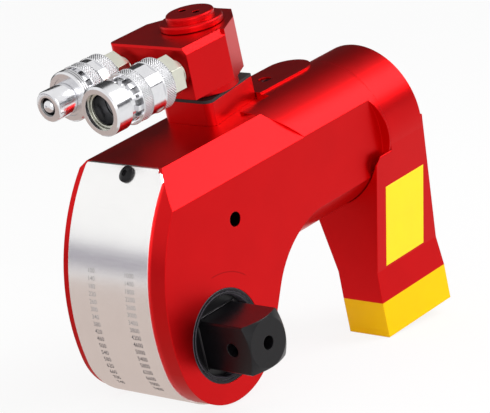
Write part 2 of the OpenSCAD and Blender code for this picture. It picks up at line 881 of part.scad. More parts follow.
module swivel_block() {
    color(anodised) difference() {
        translate([swivel_x, swivel_y, block_z]) difference() {
            union() {
                linear_extrude(block_h) block_plan();
                translate([0, 0, -neck_h]) cylinder(r = neck_r, h = neck_h + eps);
            }
            block_chamfer_cut();
            translate([0, 0, -neck_h - past])
                cylinder(r = post_r + running_gap, h = block_h + neck_h + 2 * past);
            for (z = seal_heights()) translate([0, 0, z]) cylinder(r = post_r + seal_w, h = seal_w);
        }
        for (s = [-1, 1])
            coupler_place(s) translate([0, 0, -nipple_depth])
                cylinder(r = nipple_r + seat_gap, h = nipple_depth + past);
    }
}

function seal_heights() = [for (i = [0:2]) seal_w + i * (block_h - 3 * seal_w) / 2];

module swivel_seals() {
    color(rubber) translate([swivel_x, swivel_y, block_z]) for (z = seal_heights())
        translate([0, 0, z + seat_gap]) difference() {
            cylinder(r = post_r + seal_w - seat_gap, h = seal_w - 2 * seat_gap);
            translate([0, 0, -past]) cylinder(r = post_r + running_gap, h = seal_w + 2 * past);
        }
}

// A turned step with its upper edge rounded.
module round_step(r, z0, z1) {
    band(0, r, z0, z1 - cap_round);
    band(0, r - cap_round, z0, z1);
    translate([r - cap_round, z1 - cap_round]) circle(cap_round);
}

module swivel_cap() {
    color(anodised) translate([swivel_x, swivel_y, cap_z]) difference() {
        rotate_extrude() {
            round_step(cap_r, 0, cap_h);
            round_step(cap_top_r, 0, cap_h + cap_top_h);
        }
        for (s = [-1, 1])
            translate([0, s * spanner_pitch / 2, cap_h]) cylinder(d = spanner_hole_d, h = cap_top_h + past);
    }
}

module nipples() {
    color(brass) for (s = [-1, 1]) coupler_place(s) {
        translate([0, 0, free_gap - nipple_depth]) cylinder(r = nipple_r, h = nipple_depth);
        cylinder(r = nipple_neck_r, h = nipple_neck + seat_gap);
        translate([0, 0, nipple_neck])
            cylinder(d = nipple_hex / cos(30), h = nipple_hex_len - seat_gap, $fn = 6);
    }
}

// Notches that part a crown's teeth.
module notches(s0) {
    width = PI * crown_r / notch_count;
    for (i = [0:notch_count - 1])
        rotate(i * 360 / notch_count)
            translate([crown_r - notch_depth, -width / 2, s0])
                cube([notch_depth + past, width, crown_len + past]);
}

// Cone and rear knurled band, alike on both couplers.
module coupler_tail() {
    polygon([
        [0, tail_s], [nipple_hex / 2, tail_s], [band_r, band_s], [band_r, waist_s], [0, waist_s]
    ]);
}

// Spanner hexagon between the knurled bands.
module coupler_waist(side, length) {
    coupler_place(side) translate([0, 0, waist_s - eps]) intersection() {
        cylinder(d = waist_hex / cos(30), h = length + 2 * eps, $fn = 6);
        cylinder(r = waist_r, h = length + 2 * eps);
    }
}

module female_body() {
    color(chrome) difference() {
        union() {
            coupler_turned(-1) {
                coupler_tail();
                band(0, band_r, female_band_s, female_crown_s);
                band(0, crown_r, female_crown_s, female_crown_s + crown_len);
                band(0, core_r, female_crown_s, core_end);
            }
            coupler_waist(-1, female_waist);
        }
        coupler_turned(-1) band(0, socket_r, socket_end, core_end + past);
        coupler_place(-1) notches(female_crown_s);
    }
}

// Sleeve with a lip that overhangs the seal; its edges are broken by short cones.
module female_sleeve() {
    edge = 1;
    color(chrome) coupler_turned(-1) difference() {
        polygon([
            [0, sleeve_s], [sleeve_r - edge, sleeve_s], [sleeve_r, sleeve_s + edge], [sleeve_r, lip_s - edge],
            [sleeve_r - edge, lip_s], [0, lip_s]
        ]);
        band(0, core_r + running_gap, sleeve_s - past, lip_s - lip_len);
        band(0, lip_r, sleeve_s, lip_s + past);
    }
}

module female_seal() {
    color(brass) coupler_turned(-1)
        band(socket_r - free_gap, core_r, core_end + seat_gap, core_end + seat_gap + seal_t);
}

module female_poppet() {
    head = 3;
    stem = 4.5;
    color(tool_steel) coupler_turned(-1) {
        band(0, socket_r - free_gap, socket_end + stem, socket_end + stem + head);
        band(0, socket_r * 0.45, socket_end + stem - 1, socket_end + stem + head + 1);
    }
}

module male_body() {
    color(chrome) {
        difference() {
            coupler_turned(1) {
                coupler_tail();
                band(0, stem_r, waist_s, tip_s - free_gap);
                polygon([
                    [0, tip_s - past], [tip_r, tip_s - past], [tip_r, tip_end - tip_chamfer],
                    [tip_r - tip_chamfer, tip_end], [0, tip_end]
                ]);
            }
            coupler_turned(1) band(0, ball_r + free_gap, tip_s, tip_end + past);
        }
        coupler_waist(1, male_waist);
    }
}

module male_collar() {
    edge = 1;
    color(chrome) difference() {
        coupler_turned(1) difference() {
            union() {
                band(0, band_r, male_band_s + free_gap, male_crown_s);
                band(0, crown_r, male_crown_s, flange_s);
                polygon([
                    [0, flange_s], [flange_r, flange_s], [flange_r, tip_s - edge], [flange_r - edge, tip_s],
                    [0, tip_s]
                ]);
            }
            band(0, stem_r + running_gap, male_band_s, tip_s + past);
        }
        coupler_place(1) difference() {
            notches(male_crown_s);
            translate([0, 0, flange_s]) cylinder(r = band_r + past, h = crown_len + past);
        }
    }
}

module male_ball() {
    color(chrome) coupler_place(1) translate([0, 0, tip_end + ball_proud - ball_r]) sphere(ball_r);
}

module piston() {
    groove = 3;
    color(tool_steel) difference() {
        bar_x(bore_r - running_gap, piston_x, piston_end);
        difference() {
            bar_x(bore_r + past, piston_x + (piston_len - groove) / 2, piston_x + (piston_len + groove) / 2);
            bar_x(bore_r - groove, piston_x, piston_end);
        }
        bar_x(rod_r / 2 + seat_gap, piston_x - past, piston_end - groove);
    }
}

module piston_seal() {
    groove = 3;
    mid = piston_x + piston_len / 2;
    color(rubber) difference() {
        bar_x(bore_r - running_gap, mid - groove / 2 + seat_gap, mid + groove / 2 - seat_gap);
        bar_x(bore_r - groove + seat_gap, piston_x, piston_end);
    }
}

module piston_rod() {
    color(chrome) difference() {
        union() {
            bar_x(rod_r, rod_pin_x, piston_x - seat_gap);
            bar_x(rod_r / 2, piston_x - past, piston_end - 3 - seat_gap);
            bar_y(eye_r, -inner_half, inner_half, rod_pin_x, boss_z);
        }
        bar_y(pin_r + seat_gap, -slot_half, slot_half, rod_pin_x, boss_z);
    }
}

module crosshead_pin() {
    color(tool_steel) bar_y(pin_r, -crank_in - crank_plate, crank_in + crank_plate, rod_pin_x, boss_z);
}

module crank_outline() {
    half_slot = pin_r + free_gap;
    difference() {
        union() {
            circle(crank_end_r);
            polygon([
                [-crank_end_r * 0.95, crank_end_r * 0.3], [crank_end_r * 0.95, crank_end_r * 0.3],
                [fork_half, fork_top], [-fork_half, fork_top]
            ]);
        }
        circle(hub_r + running_gap);
        translate([-half_slot, fork_slot_bottom]) square([2 * half_slot, fork_top]);
    }
}

module crank_plates() {
    color(tool_steel) crank_rest() {
        across(crank_in, crank_in + crank_plate) crank_outline();
        across(-crank_in - crank_plate, -crank_in) crank_outline();
    }
}

// Yoke between the crank plates that guides the drive pawl.
module pawl_carrier() {
    out = pawl_half + free_gap + carrier_cheek;
    color(tool_steel) crank_rest() across(-crank_in, crank_in) difference() {
        translate([-out, ratchet_r + 2.5]) square([2 * out, carrier_top - ratchet_r - 2.5]);
        translate([-pawl_half - free_gap, 0]) square([2 * (pawl_half + free_gap), carrier_top - carrier_roof]);
    }
}

module pawl_spring() {
    z0 = pawl_top + pawl_lift + free_gap;
    color(tool_steel) crank_rest() translate([0, 0, z0]) difference() {
        cylinder(r = spring_r, h = carrier_top - carrier_roof - z0);
        translate([0, 0, -past]) cylinder(r = spring_r - 1, h = 2 * carrier_top);
    }
}

// Drive pawl cut to the teeth in mesh, then lifted clear of them.
module drive_pawl() {
    color(tool_steel) crank_rest() across(-pawl_wide, pawl_wide) translate([0, pawl_lift]) difference() {
        translate([-pawl_half, root_r - 1]) square([2 * pawl_half, pawl_top - root_r + 1]);
        rotate(crank_swing) tooth_outline(mesh_gap);
    }
}

module square_outline(grow = 0) {
    square(square_size + 2 * grow, center = true);
}

module ratchet_wheel() {
    color(tool_steel) difference() {
        union() {
            across(-ratchet_w / 2, ratchet_w / 2) tooth_outline();
            bar_y(hub_r, hub_recess - drive_face, chamber_end - retainer_recess);
        }
        across(-drive_face - past, far_face + past) square_outline(seat_gap);
    }
}

module square_drive() {
    tip = -drive_face - square_reach;
    end = far_face - retainer_len;
    corner_r = square_size / sqrt(2) * 0.97;
    color(blackened) difference() {
        intersection() {
            across(tip, end) square_outline();
            union() {
                bar_y(corner_r, tip + square_lead, end);
                translate([0, tip + square_lead + eps, 0]) rotate([90, 0, 0])
                    cylinder(r1 = corner_r, r2 = square_end_r, h = square_lead + eps);
            }
        }
        bar_y(square_hole_d / 2, tip - past, end + past);
        translate([-square_size, -drive_face - square_reach * 0.56, 0]) rotate([0, 90, 0])
            cylinder(d = pin_hole_d, h = square_size);
    }
}

module drive_retainer() {
    inner_end = far_face - retainer_len;
    color(blackened) difference() {
        union() {
            bar_y(square_size / 2 - free_gap, inner_end + seat_gap, chamber_end);
            bar_y(hub_r, chamber_end - retainer_recess + seat_gap, far_face - retainer_recess);
        }
        bar_y(chamber_r, inner_end - past, chamber_end);
        bar_y(square_hole_d / 2 + running_gap, inner_end, far_face + past);
    }
}

module retainer_button() {
    color(chrome) {
        bar_y(square_hole_d / 2, chamber_end - button_head, far_face + button_proud);
        bar_y(chamber_r - 2 * free_gap, chamber_end - button_head, chamber_end - free_gap);
    }
}

module retainer_spring() {
    wire = 1.2;
    outer_end = chamber_end - button_head - button_travel - free_gap;
    color(tool_steel) difference() {
        bar_y(chamber_r - free_gap, far_face - retainer_len + free_gap, outer_end);
        bar_y(chamber_r - free_gap - wire, far_face - retainer_len, far_face);
    }
}

housing();
nose_plate();
plate_screw();
drive_bush();
far_bush();
gland();
gland_seal();
cylinder_cap();
cap_seal();
gallery_plug();
reaction_arm();
arm_ring();
latch_pin();
latch_spring();
reaction_pawl();
swivel_base();
swivel_post();
swivel_ring();
swivel_cap();
swivel_block();
swivel_seals();
nipples();
female_body();
female_sleeve();
female_seal();
female_poppet();
male_body();
male_collar();
male_ball();
piston();
piston_seal();
piston_rod();
crosshead_pin();
crank_plates();
pawl_carrier();
pawl_spring();
drive_pawl();
ratchet_wheel();
square_drive();
drive_retainer();
retainer_button();
retainer_spring();
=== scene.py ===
"""Looks of a hydraulic torque wrench: finishes, couplers, drive ring, chart figures, label and studio."""
import math
from collections import namedtuple

import bmesh
import bpy
import numpy as np
from bpy.props import FloatProperty, FloatVectorProperty, IntProperty, PointerProperty
from mathutils import Matrix, Vector


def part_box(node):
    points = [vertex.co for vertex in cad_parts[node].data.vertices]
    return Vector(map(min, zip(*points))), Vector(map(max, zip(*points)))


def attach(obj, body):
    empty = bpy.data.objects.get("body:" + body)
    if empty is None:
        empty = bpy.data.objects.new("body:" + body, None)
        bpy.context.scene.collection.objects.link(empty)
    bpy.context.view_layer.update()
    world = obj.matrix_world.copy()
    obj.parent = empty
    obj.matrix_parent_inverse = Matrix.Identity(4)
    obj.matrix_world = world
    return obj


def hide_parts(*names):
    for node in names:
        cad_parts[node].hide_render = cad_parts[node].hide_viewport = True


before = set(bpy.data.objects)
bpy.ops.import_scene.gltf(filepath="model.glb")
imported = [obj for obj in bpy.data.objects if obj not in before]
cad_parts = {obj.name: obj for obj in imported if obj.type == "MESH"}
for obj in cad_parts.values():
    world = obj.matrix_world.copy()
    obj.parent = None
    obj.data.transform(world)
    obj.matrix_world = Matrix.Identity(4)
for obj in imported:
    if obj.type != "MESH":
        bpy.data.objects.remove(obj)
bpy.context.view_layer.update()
MM = 0.001

# Y of the housing's flat drive side
FLAT_SIDE = -31.0 * MM
# Points of a shell that are nearer than this become one
JOIN = 0.002 * MM
# Points round a turned piece, and rows of points along a run of each dress
AROUND = 360
ROWS = {"plain": 2, "toned": 2, "knurl": 42, "hexagon": 3, "crown": 3, "thread": 34}
# Shared sizes of the couplers in mm: chamfer of a band, end of the tail's band, radius of a crown
CHAMFER = 0.4
TAIL_END = 9.3
CROWN = 11.8

bl_info = {
    "name": "Hydraulic torque wrench",
    "version": (1, 0, 0),
    "blender": (4, 5, 0),
    "location": "3D View > Sidebar > Torque wrench",
    "description": "Finishes, couplers, drive ring, chart figures, label and studio of a torque wrench",
    "category": "Object",
}


# Shader expressions

class Socket:
    """An output socket that takes part in Python arithmetic; each operation adds a Math node."""

    def __init__(self, finish, link):
        self.finish = finish
        self.link = link

    def math(self, operation, *values):
        """A Math node on these values."""
        return self.finish.node("Math", {"operation": operation}, dict(enumerate(values)))

    def __add__(self, other):
        return self.math("ADD", self, other)

    def __radd__(self, other):
        return self.math("ADD", other, self)

    def __sub__(self, other):
        return self.math("SUBTRACT", self, other)

    def __rsub__(self, other):
        return self.math("SUBTRACT", other, self)

    def __mul__(self, other):
        return self.math("MULTIPLY", self, other)

    def __rmul__(self, other):
        return self.math("MULTIPLY", other, self)

    def __truediv__(self, other):
        return self.math("DIVIDE", self, other)

    def __abs__(self):
        return self.math("ABSOLUTE", self)

    def above(self, edge, soft):
        """1 above edge and 0 below, over a soft width."""
        return self.finish.node("MapRange", {"interpolation_type": "SMOOTHSTEP", "clamp": True},
                                {"Value": self, "From Min": edge - soft / 2, "From Max": edge + soft / 2})

    def below(self, edge, soft):
        """1 below edge and 0 above, over a soft width."""
        return 1 - self.above(edge, soft)


class Finish:
    """A material with one Principled shader, built from expressions."""

    def __init__(self, name):
        self.material = bpy.data.materials.new(name)
        self.material.use_nodes = True
        self.tree = self.material.node_tree
        self.tree.nodes.clear()
        self.shader = self.tree.nodes.new("ShaderNodeBsdfPrincipled")
        self.surface = self.tree.nodes.new("ShaderNodeOutputMaterial").inputs["Surface"]
        self.tree.links.new(self.shader.outputs[0], self.surface)
        self.place = self.node("TexCoord", output="Object")
        self.parts = None

    def plug(self, target, value):
        """Links a Socket to a socket, or sets its value."""
        if isinstance(value, Socket):
            self.tree.links.new(value.link, target)
        else:
            target.default_value = value

    def node(self, kind, options=None, inputs=None, output=0):
        """Any node: its options first, then the values or links of its sockets."""
        node = self.tree.nodes.new("ShaderNode" + kind)
        for name, value in (options or {}).items():
            setattr(node, name, value)
        for name, value in (inputs or {}).items():
            self.plug(node.inputs[name], value)
        return Socket(self, node.outputs[output])

    def set(self, **values):
        """Values or links of the Principled shader, with underscores for spaces."""
        for name, value in values.items():
            self.plug(self.shader.inputs[name.replace("_", " ").title().replace("Ior", "IOR")], value)

    def axis(self, letter):
        """One object coordinate, in metres."""
        if self.parts is None:
            self.parts = self.tree.nodes.new("ShaderNodeSeparateXYZ")
            self.tree.links.new(self.place.link, self.parts.inputs[0])
        return Socket(self, self.parts.outputs[letter])

    def noise(self, size, detail=2.0, rough=0.5, stretch=(1, 1, 1)):
        """Noise whose grains are about size metres, stretched along the axes."""
        spot = self.node("Mapping", {}, {"Vector": self.place, "Scale": tuple(1 / s for s in stretch)})
        return self.node("TexNoise", {}, {"Vector": spot, "Scale": 1 / size, "Detail": detail,
                                          "Roughness": rough})

    def ridge(self):
        """The tone that a turned piece carries on its points: 0 in grooves and 1 on plain metal, by which
        finishes paint shade or highlights.
        """
        return self.node("Attribute", {"attribute_name": "ridge"}, output="Fac")

    def blend(self, mask, first, second):
        """Colour first where mask is 0 and second where it is 1."""
        return self.node("Mix", {"data_type": "RGBA"}, {0: mask, 6: first, 7: second}, output=2)

    def vary(self, mask, colour, low, high):
        """A colour times low where mask is 0 and times high where it is 1."""
        return self.blend(mask, shade(colour, low), shade(colour, high))

    def bump(self, height, depth, rounding=0.0):
        """A bump of that depth in metres, over edges rounded by that radius."""
        inputs = {"Height": height, "Distance": depth}
        if rounding:
            inputs["Normal"] = self.node("Bevel", {"samples": 6}, {"Radius": rounding})
        return self.node("Bump", {}, inputs)


def shade(colour, factor):
    """A colour made darker or lighter, with full alpha."""
    return tuple(min(1.0, c * factor) for c in colour[:3]) + (1.0,)


def mix_shaders(tree, factor, first, second, target):
    """Links a mix of two shaders to a target: first where factor is 0 and second where it is 1."""
    mix = tree.nodes.new("ShaderNodeMixShader")
    for link, entry in zip((factor, first, second), mix.inputs):
        tree.links.new(link, entry)
    tree.links.new(mix.outputs[0], target)


# Sizes and colours that a user would change

class FinishColours(bpy.types.PropertyGroup):
    """Colours of the finishes."""
    red: FloatVectorProperty(name="Red", description="Anodised housing and arm", subtype="COLOR",
                             default=(0.64, 0.004, 0.006))
    yellow: FloatVectorProperty(name="Yellow", description="Painted foot", subtype="COLOR",
                                default=(0.92, 0.57, 0.0))
    film: FloatVectorProperty(name="Film", description="Label on the arm", subtype="COLOR",
                              default=(0.90, 0.70, 0.01))
    sheet: FloatVectorProperty(name="Sheet", description="Nose plate", subtype="COLOR",
                               default=(0.95, 0.94, 0.93))
    black: FloatVectorProperty(name="Black", description="Blackened steel", subtype="COLOR",
                               default=(0.0045, 0.004, 0.005))
    plate: FloatVectorProperty(name="Plating", description="Bright couplers", subtype="COLOR",
                               default=(0.78, 0.78, 0.80))
    steel: FloatVectorProperty(name="Steel", description="Ground inner steel", subtype="COLOR",
                               default=(0.45, 0.45, 0.47))
    passivated: FloatVectorProperty(name="Passivated", description="Yellowish nipples and seal ring",
                                    subtype="COLOR", default=(0.72, 0.72, 0.62))
    # Pale grey of the frame round the square's seat, a painted highlight on its chamfer
    edge: FloatVectorProperty(name="Edge", description="Worn edge round the square's seat", subtype="COLOR",
                              default=(0.17, 0.16, 0.17))


class CouplerSizes(bpy.types.PropertyGroup):
    """Sizes of the knurl, the crowns and the threads."""
    knurl_count: IntProperty(name="Knurl count", description="Grooves of each hand round a band",
                             default=60, min=24)
    knurl_depth: FloatProperty(name="Knurl depth", description="Depth of the knurl",
                               default=0.5 * MM, subtype="DISTANCE")
    thread_pitch: FloatProperty(name="Thread pitch", description="Pitch of the visible threads",
                                default=1.3 * MM, subtype="DISTANCE")
    thread_depth: FloatProperty(name="Thread depth", description="Depth of the visible threads",
                                default=0.45 * MM, subtype="DISTANCE")
    band: FloatProperty(name="Band radius", description="Radius of the knurled bands",
                        default=13.2 * MM, subtype="DISTANCE")
    flats: FloatProperty(name="Flats", description="Half of the spanner hexagon's width",
                         default=12.2 * MM, subtype="DISTANCE")
    teeth: IntProperty(name="Crown teeth", description="Teeth round a crown", default=12, min=4)
    notch_depth: FloatProperty(name="Notch depth", description="Depth of the notches between a crown's teeth",
                               default=1.8 * MM, subtype="DISTANCE")


class MarkSizes(bpy.types.PropertyGroup):
    """Sizes of the figures, the label, the painted foot and the arc round the drive."""
    rows: IntProperty(name="Rows", description="Rows of figures on the nose plate", default=17, min=1)
    row_pitch: FloatProperty(name="Row pitch", description="Distance between rows along the plate",
                             default=3.9 * MM, subtype="DISTANCE")
    first_row: FloatProperty(name="First row", description="Way down the plate from its top to the first row",
                             default=55.0 * MM, subtype="DISTANCE")
    figure_size: FloatProperty(name="Figure size", description="Type size of the figures",
                               default=3.3 * MM, subtype="DISTANCE")
    columns: FloatVectorProperty(name="Columns", description="Places of the two columns along Y", size=2,
                                 default=(18.5 * MM, -7.5 * MM), subtype="XYZ_LENGTH")
    label_corner: FloatVectorProperty(name="Label corner", size=2, subtype="XYZ_LENGTH",
                                      description="Lower front corner of the label in X and Z",
                                      default=(121.2 * MM, -15.6 * MM))
    label_size: FloatVectorProperty(name="Label size", size=3, subtype="XYZ_LENGTH",
                                    description="Width, height and lean of the label",
                                    default=(31.2 * MM, 41.7 * MM, 6.95 * MM))
    film: FloatProperty(name="Film", description="Thickness of the label's film",
                        default=0.15 * MM, subtype="DISTANCE")
    foot_height: FloatProperty(name="Foot height", description="Height of the yellow paint over the sole",
                               default=19.1 * MM, subtype="DISTANCE")
    arc_radius: FloatProperty(name="Arc radius", description="Radius of the engraved arc round the drive",
                              default=31.2 * MM, subtype="DISTANCE")


class StudioSizes(bpy.types.PropertyGroup):
    """Camera and light."""
    lens: FloatProperty(name="Lens", description="Focal length on a 36 mm wide sensor", unit="CAMERA",
                        default=197.96)
    heading: FloatProperty(name="Heading", description="Direction of view from +X", subtype="ANGLE",
                           default=math.radians(46.0255))
    tilt: FloatProperty(name="Tilt", description="Downward tilt of the view", subtype="ANGLE",
                        default=math.radians(19.5865))
    roll: FloatProperty(name="Roll", description="Roll of the camera", subtype="ANGLE",
                        default=math.radians(12.2791))
    stand: FloatVectorProperty(name="Stand", description="Place of the camera", subtype="TRANSLATION",
                               default=(-0.82333, -0.91585, 0.49285))
    middle: FloatVectorProperty(name="Middle", description="Point that the lights and cards face",
                                subtype="TRANSLATION", default=(0.06, 0.0, 0.045))
    key_power: FloatProperty(name="Key power", description="Power of the key light", unit="POWER",
                             default=6.0)
    fill_power: FloatProperty(name="Fill power", description="Power of the fill light", unit="POWER",
                              default=3.6)
    sky: FloatProperty(name="Sky", description="Strength of the all-round light", default=0.7)


class WrenchSettings(bpy.types.PropertyGroup):
    """All settings of the wrench."""
    colours: PointerProperty(type=FinishColours, name="Colours", description="Colours of the finishes")
    couplers: PointerProperty(type=CouplerSizes, name="Couplers", description="Sizes of the couplers")
    marks: PointerProperty(type=MarkSizes, name="Marks", description="Sizes of the figures and other marks")
    studio: PointerProperty(type=StudioSizes, name="Studio", description="Camera and light")


def settings():
    """The wrench's settings in the open scene."""
    return bpy.context.scene.torque_wrench


# Finishes

def red_finish(name, yellow_below=None, dark=None):
    """Satin red anodising: blasted grain, slow colour drift, and, if asked, a dark mask (painted shade inside
    holes, an engraved arc) and a yellow foot.
    """
    colours = settings().colours
    finish = Finish(name)
    grain = finish.noise(0.25 * MM, detail=3.0, rough=0.6)
    drift = finish.noise(22 * MM)
    colour = finish.vary(drift, colours.red, 0.92, 1.06)
    metallic = 1.0
    if dark is not None:
        # Painted shade inside holes, and the engraved arc, darken the red here
        colour = finish.blend(dark(finish), colour, shade(colours.red, 0.04))
    if yellow_below is not None:
        mask = finish.axis("Z").below(yellow_below, 0.3 * MM)
        paint = finish.vary(drift, colours.yellow, 0.94, 1.04)
        colour = finish.blend(mask, colour, paint)
        metallic = 1 - mask
    finish.set(base_color=colour, metallic=metallic, roughness=0.31 + 0.06 * drift + 0.06 * grain,
               coat_weight=0.06, coat_roughness=0.2, specular_ior_level=0.06,
               normal=finish.bump(grain, depth=0.012 * MM, rounding=0.5 * MM))
    return finish.material


def inside_round(finish, first, second, centre, radius):
    """1 within radius of a centre, measured on two object axes."""
    a = finish.axis(first) - centre[0]
    b = finish.axis(second) - centre[1]
    return (a * a + b * b).below(radius ** 2, 0.1 * radius ** 2)


def housing_hole_shade_and_arc(finish):
    """Painted shade inside the side hole, and more faintly the engraved arc round the drive, both on the
    drive side.
    """
    hole_centre = (22.2 * MM, 52.1 * MM)
    hole_radius = 3.9 * MM
    skin = 0.2 * MM
    arc_tone = 0.3
    arc_start = -1.5 * MM
    arc_end = 21 * MM
    half_line = 0.3 * MM
    soft_square = 6 * MM ** 2
    x, y, z = (finish.axis(letter) for letter in "XYZ")
    # The side hole's inside is darkened as painted shade
    hole = inside_round(finish, "X", "Z", hole_centre, hole_radius)
    hole = hole * y.below(0.0, MM) * y.above(FLAT_SIDE + skin, 0.1 * MM)
    radius = settings().marks.arc_radius
    square = x * x + z * z
    ring = square.above((radius - half_line) ** 2, soft_square)
    ring = ring * square.below((radius + half_line) ** 2, soft_square)
    span = x.above(arc_start, 2 * MM) * x.below(arc_end, 2 * MM) * z.above(0.0, MM)
    face = abs(y - FLAT_SIDE).below(0.1 * MM, 0.1 * MM)
    return hole + arc_tone * ring * span * face


def cap_hole_shade(finish):
    """Painted shade inside the two spanner holes."""
    spread = 4.7 * MM
    hole_radius = 2.1 * MM
    skin = 0.25 * MM
    low, high = (Vector(corner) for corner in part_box("swivel_cap"))
    middle = (low + high) / 2
    below_top = finish.axis("Z").below(high.z - skin, 0.1 * MM)
    near, far = (inside_round(finish, "X", "Y", (middle.x, middle.y + way), hole_radius)
                 for way in (-spread, spread))
    return (near + far) * below_top


def sheet_finish():
    """Brushed sheet: long fine scratches round the nose, slow tarnish."""
    finish = Finish("brushed_sheet")
    brush = finish.noise(0.16 * MM, rough=0.6, stretch=(1, 140, 1))
    drift = finish.noise(18 * MM, detail=3.0, rough=0.55)
    colour = finish.vary(0.5 * brush + 0.5 * drift, settings().colours.sheet, 0.92, 1.06)
    finish.set(base_color=colour, metallic=0.95, roughness=0.17 + 0.12 * brush,
               normal=finish.bump(brush, depth=0.006 * MM, rounding=0.3 * MM))
    return finish.material


def black_finish(name="blackened_steel", glint_edge=False):
    """Blackened steel: mottled oxide, few pale specks, an oily sheen, and, if asked, toned runs painted
    bright as highlights.
    """
    black = settings().colours.black
    finish = Finish(name)
    mottle = finish.noise(3 * MM, detail=4.0, rough=0.65)
    grain = finish.noise(0.35 * MM, detail=3.0, rough=0.6)
    speck = finish.noise(0.8 * MM).above(0.74, 0.05)
    oxide = finish.vary(mottle, black, 0.6, 1.5)
    colour = finish.blend(0.2 * speck, oxide, shade(black, 9.0))
    if glint_edge:
        # Painted highlight: the toned runs, the drive ring's bevels, are made bright
        colour = finish.blend(finish.ridge(), shade(black, 22.0), colour)
    finish.set(base_color=colour, metallic=0.0, roughness=0.26 + 0.14 * mottle, specular_ior_level=0.25,
               normal=finish.bump(grain, depth=0.012 * MM, rounding=0.6 * MM))
    return finish.material


def plated_finish(name, colour, rough, thread=None, grooves=False):
    """Plated turned steel: faint turning rings and cloudy plating.

    The grooves, notches and toned bores of a turned piece get painted shade if asked, and a fine thread runs
    between two places along X with painted shade in its roots.
    """
    finish = Finish(name)
    turning = finish.noise(0.3 * MM, rough=0.6, stretch=(1, 60, 60))
    cloud = finish.noise(5 * MM, detail=3.0, rough=0.6)
    tone = finish.vary(cloud, colour, 0.9, 1.06)
    height = 0.03 * turning
    if grooves:
        # Painted shade in knurl grooves, crown notches and bores
        tone = finish.blend(finish.ridge(), shade(colour, 0.22), tone)
    if thread is not None:
        x = finish.axis("X")
        turns = x / settings().couplers.thread_pitch
        wave = turns.math("PINGPONG", turns, 0.5)
        here = x.above(thread[0], 0.2 * MM) * x.below(thread[1], 0.2 * MM)
        height = height + 2.0 * wave * here
        # Painted shade in the thread's roots
        tone = finish.blend(0.5 * here - here * wave, tone, shade(colour, 0.3))
    finish.set(base_color=tone, metallic=1.0, roughness=rough + 0.08 * cloud + 0.05 * turning,
               normal=finish.bump(height, depth=0.3 * MM, rounding=0.2 * MM))
    return finish.material


def steel_finish():
    """Ground steel: grinding marks along X and darker oil stains."""
    finish = Finish("ground_steel")
    marks = finish.noise(0.2 * MM, rough=0.6, stretch=(40, 1, 1))
    stain = finish.noise(6 * MM, detail=3.0, rough=0.6)
    tone = finish.vary(stain, settings().colours.steel, 0.75, 1.1)
    finish.set(base_color=tone, metallic=1.0, roughness=0.32 + 0.15 * marks,
               normal=finish.bump(marks, depth=0.008 * MM, rounding=0.2 * MM))
    return finish.material


def rubber_finish():
    """Matte black rubber with a dusty bloom."""
    fresh = (0.012, 0.012, 0.013, 1.0)
    dusty = (0.03, 0.03, 0.032, 1.0)
    finish = Finish("seal_rubber")
    bloom = finish.noise(2.5 * MM, detail=3.0, rough=0.6)
    grain = finish.noise(0.3 * MM, rough=0.6)
    finish.set(base_color=finish.blend(bloom, fresh, dusty), roughness=0.55 + 0.2 * bloom,
               normal=finish.bump(grain, depth=0.02 * MM))
    return finish.material


def label_finish():
    """Plain yellow film with a soft gloss and a slight fade."""
    finish = Finish("yellow_film")
    fade = finish.noise(12 * MM, detail=3.0)
    grain = finish.noise(0.4 * MM, rough=0.6)
    tone = finish.vary(fade, settings().colours.film, 0.96, 1.05)
    finish.set(base_color=tone, roughness=0.34 + 0.12 * fade, specular_ior_level=0.2,
               normal=finish.bump(grain, depth=0.006 * MM))
    return finish.material


def ink_finish():
    """Grey etched figures, uneven in tone and paler above a height on the plate."""
    deep = (0.10, 0.09, 0.09, 1.0)
    thin = (0.24, 0.22, 0.22, 1.0)
    pale = (0.42, 0.40, 0.40, 1.0)
    pale_above = 16 * MM
    fade = 14 * MM
    finish = Finish("etched_grey")
    wear = finish.noise(1.2 * MM, detail=3.0, rough=0.6)
    dark = finish.blend(wear, deep, thin)
    tone = finish.blend(finish.axis("Z").above(pale_above, fade), dark, pale)
    finish.set(base_color=tone, metallic=0.2, roughness=0.5 + 0.15 * wear, specular_ior_level=0.2)
    return finish.material


def put(material, *nodes):
    """Gives CAD nodes a finish."""
    for name in nodes:
        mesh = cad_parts[name].data
        mesh.materials.clear()
        mesh.materials.append(material)


# Surfaces

# A straight piece of a turned profile: its dress, its first way and radius, its last way and radius, in mm
Run = namedtuple("Run", "dress way radius last_way last_radius")


def mesh_piece(name, points, faces, material, body):
    """A smooth piece from arrays of points and faces, riding on a body."""
    mesh = bpy.data.meshes.new(name)
    mesh.from_pydata(points.reshape(-1, 3), [], faces)
    mesh.materials.append(material)
    mesh.polygons.foreach_set("use_smooth", np.ones(len(mesh.polygons), bool))
    mesh.update()
    piece = bpy.data.objects.new(name, mesh)
    bpy.context.scene.collection.objects.link(piece)
    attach(piece, body)
    return piece


def close_shell(piece, sharp):
    """Joins points that coincide, turns faces outwards and keeps edges sharp above an angle in degrees."""
    shell = bmesh.new()
    shell.from_mesh(piece.data)
    bmesh.ops.remove_doubles(shell, verts=shell.verts, dist=JOIN)
    bmesh.ops.recalc_face_normals(shell, faces=shell.faces)
    shell.to_mesh(piece.data)
    shell.free()
    piece.data.set_sharp_from_angle(angle=math.radians(sharp))


def grid_faces(rows, columns, wrap_rows=False, wrap_columns=True):
    """Quads of a grid of points, which may wrap round its rows and its columns."""
    row_count = rows if wrap_rows else rows - 1
    column_count = columns if wrap_columns else columns - 1
    r, c = np.meshgrid(np.arange(row_count), np.arange(column_count), indexing="ij")
    this_row = r * columns
    next_row = (r + 1) % rows * columns
    next_column = (c + 1) % columns
    corners = [this_row + c, this_row + next_column, next_row + next_column, next_row + c]
    return np.stack(corners, -1).reshape(-1, 4)


